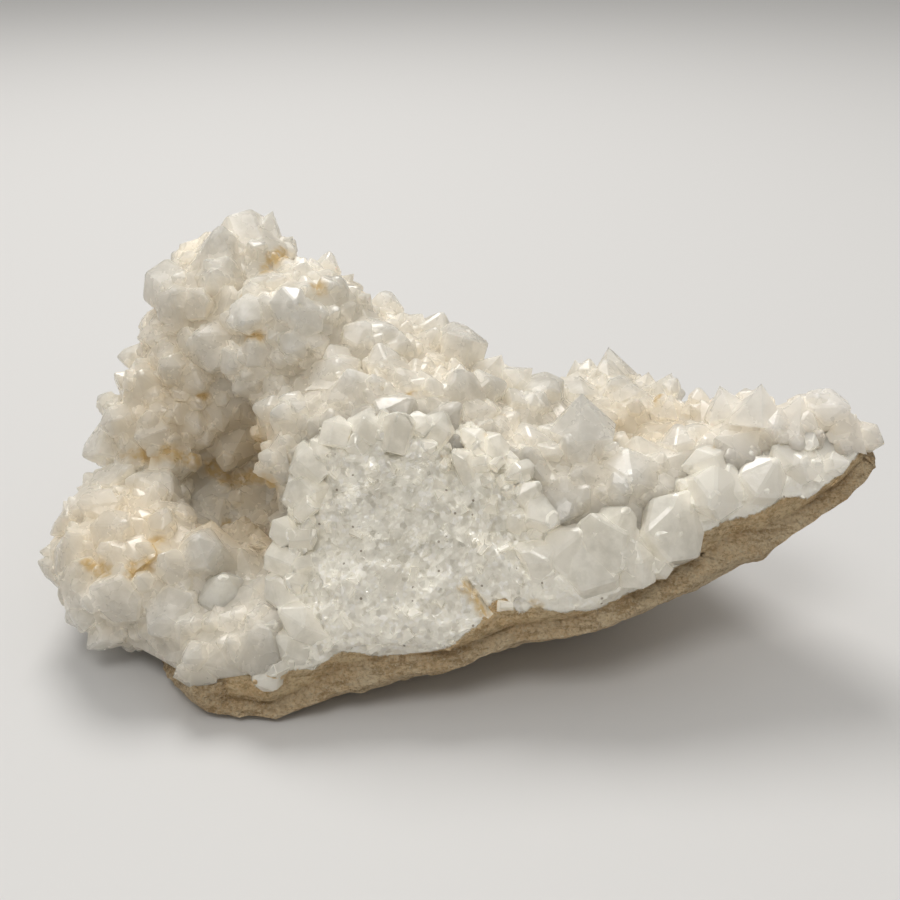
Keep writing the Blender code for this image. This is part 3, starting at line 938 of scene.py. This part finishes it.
def broken_material(quartz, sparkle, look_of_rind):
    """Sugary broken quartz, with glints from its leaning facets, painted glints in its colour, flecks and
    specks, and the tan of the rind below its edge.
    """
    made, tree, shader, place = material("broken quartz")
    milk = ranged(tree, stored(tree, "rim"), 0.0, 0.9, 0.62, 0.9)
    colour = tinted(tree, use(tree, quartz, {"Vector": place, "Milk": milk})["Color"], BROKEN_WHITE)
    patch = noisy(tree, place, GREY_PATCHES)["Fac"]
    colour = mixed(tree, ranged(tree, patch, 0.42, 0.56, 0.25, 0.0), colour, DULL_PATCH)
    fleck = channel(tree, cellular(tree, place, FLECKS)["Color"], 1)
    bend = (SMOOTH_FROM - SMOOTH_FADE, SMOOTH_FROM + SMOOTH_FADE)
    sugary = ranged(tree, along_of(tree, place), *bend, 0.8, 0.5)
    # Painted glints: small cells turned near-white stand in for highlights, weaker along the right arm.
    painted_glint = sums(tree, "MULTIPLY", ranged(tree, fleck, 0.8, 0.86), sums(tree, "MULTIPLY", sugary, 0.6))
    colour = mixed(tree, painted_glint, colour, PAINTED_GLINT)
    colour = mixed(tree, ranged(tree, fleck, 0.2, 0.0, 0.0, 0.22), colour, DARK_FLECK)
    specks = cellular(tree, place, SPECKS)
    dots = ranged(tree, specks["Distance"], 0.12, 0.2, 1.0, 0.0)
    dots = sums(tree, "MULTIPLY", dots, ranged(tree, channel(tree, specks["Color"], 0), 0.84, 0.88))
    colour = mixed(tree, sums(tree, "MULTIPLY", dots, 0.75), colour, SPECK)
    ragged = noisy(tree, place, RAGGED)["Fac"]
    edge = ranged(tree, sums(tree, "MULTIPLY_ADD", ragged, 0.5, stored(tree, "below edge")), 0.72, 0.8)
    tan = use(tree, look_of_rind, {"Vector": place})
    colour = mixed(tree, edge, colour, tinted(tree, tan["Color"], TAN_ON_QUARTZ))
    lean = sums(tree, "MULTIPLY", sugary, sums(tree, "SUBTRACT", 1.3, edge))
    facets = use(tree, sparkle, {"Vector": place, "Scale": FACETS, "Lean": lean})
    height = sums(tree, "MULTIPLY", tan["Height"], edge)
    bump = put(tree, "ShaderNodeBump", {"Height": height, "Distance": RIND_BUMP, "Strength": 1.0,
                                        "Normal": facets["Normal"]})
    gloss = ranged(tree, facets["Cell"], 0.0, 1.0, 0.08, 0.4)
    shader.subsurface_method = "BURLEY"
    finish_with(tree, shader, {
        "Base Color": colour,
        "Roughness": sums(tree, "MAXIMUM", gloss, sums(tree, "MULTIPLY", edge, 0.9)),
        "Normal": bump.outputs[0],
        "IOR": QUARTZ_IOR,
        "Subsurface Weight": 0.5,
        "Subsurface Radius": (1.0, 0.94, 0.85),
        "Subsurface Scale": 1.7 * MM,
    })
    return made


def rind_material(look):
    """The tan rind, a little browner at its edge."""
    made, tree, shader, place = material("tan rind")
    tan = use(tree, look, {"Vector": place})
    edge = ranged(tree, stored(tree, "rim"), 0.6, 0.97, 0.0, 0.15)
    bump = put(tree, "ShaderNodeBump", {"Height": tan["Height"], "Distance": RIND_BUMP, "Strength": 1.0})
    finish_with(tree, shader, {
        "Base Color": mixed(tree, edge, tan["Color"], BROWN),
        "Normal": bump.outputs[0],
        "Roughness": 0.9,
    })
    return made


def floor_material():
    made, tree, shader, place = material("pale floor")
    finish_with(tree, shader, {"Base Color": FLOOR_GREY, "Roughness": 0.6, "Specular IOR Level": 0.25})
    return made


quartz_look = milky_quartz(ochre_stains(stain_between()))
sparkle_look = facet_sparkle()
tan_look = rind_look()
crystal_finish = crystal_material(
    "crystal quartz", quartz_look, milk=0.45, tint=CLOUDED, reach=10 * MM, dullest=0.42)
clear_finish = crystal_material(
    "clear broken quartz", quartz_look, milk=0.5, tint=WARM_WHITE, reach=7 * MM, dullest=0.24)
broken_finish = broken_material(quartz_look, sparkle_look, tan_look)

# The three pieces, each in place of its node: maker, node, material slot and finishes
PIECES = (
    (broken_quartz, "quartz_wall", "massive_quartz", (broken_finish, clear_finish)),
    (crystals, "crystal_crust", "crystal_quartz", (crystal_finish,)),
    (rind, "rind", "rind", (rind_material(tan_look),)),
)

for make, node, slot, finishes in PIECES:
    piece = make()
    for finish in finishes:
        piece.data.materials.append(finish)
    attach(piece, "root")
    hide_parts(node)
    print(piece.name, sum(len(f.vertices) - 2 for f in piece.data.polygons), "triangles")


# Floor, light and camera

FLOOR_SIZE = 6
LIGHT_AIM = (0, 0, 0.03)
LIGHT_COLOUR = (1.0, 0.975, 0.94)
HORIZON = (0.13, 0.106, 0.078)
ZENITH = (0.58, 0.575, 0.56)

bpy.ops.object.select_all(action="DESELECT")
bpy.ops.mesh.primitive_plane_add(size=FLOOR_SIZE)
floor = bpy.context.active_object
floor.name = "floor"
floor.data.materials.append(floor_material())


def area_light(name, place, size, power):
    """A round soft light, turned towards the fragment."""
    bpy.ops.object.light_add(type="AREA", location=place)
    lamp = bpy.context.active_object
    lamp.name = name
    lamp.data.shape = "DISK"
    lamp.data.size = size
    lamp.data.energy = power
    lamp.data.color = LIGHT_COLOUR
    lamp.rotation_euler = (Vector(place) - Vector(LIGHT_AIM)).to_track_quat("Z", "Y").to_euler()


area_light("key light", (-0.2, 0.62, 1.1), size=0.6, power=8.2)
area_light("fill light", (-0.1, -0.6, 1.15), size=0.5, power=3.6)

world = bpy.data.worlds.new("studio")
bpy.context.scene.world = world
world.use_nodes = True
sky = world.node_tree
upward = sky.nodes.new("ShaderNodeTexCoord").outputs["Generated"]
upward = put(sky, "ShaderNodeSeparateXYZ", {0: upward}).outputs["Z"]
glow = mixed(sky, ranged(sky, upward, -0.1, 0.9, smooth=False), HORIZON, ZENITH)
sky.links.new(glow, sky.nodes["Background"].inputs["Color"])
sky.nodes["Background"].inputs["Strength"].default_value = 1.0

bpy.ops.object.camera_add(location=spot(0, -186.1, 138.2), rotation=(math.radians(63), 0, 0))
camera = bpy.context.active_object
camera.name = "camera"
camera.data.lens = 44
camera.data.sensor_width = 36
camera.data.clip_start = 0.01
bpy.context.scene.camera = camera
bpy.context.scene.view_settings.view_transform = "Standard"
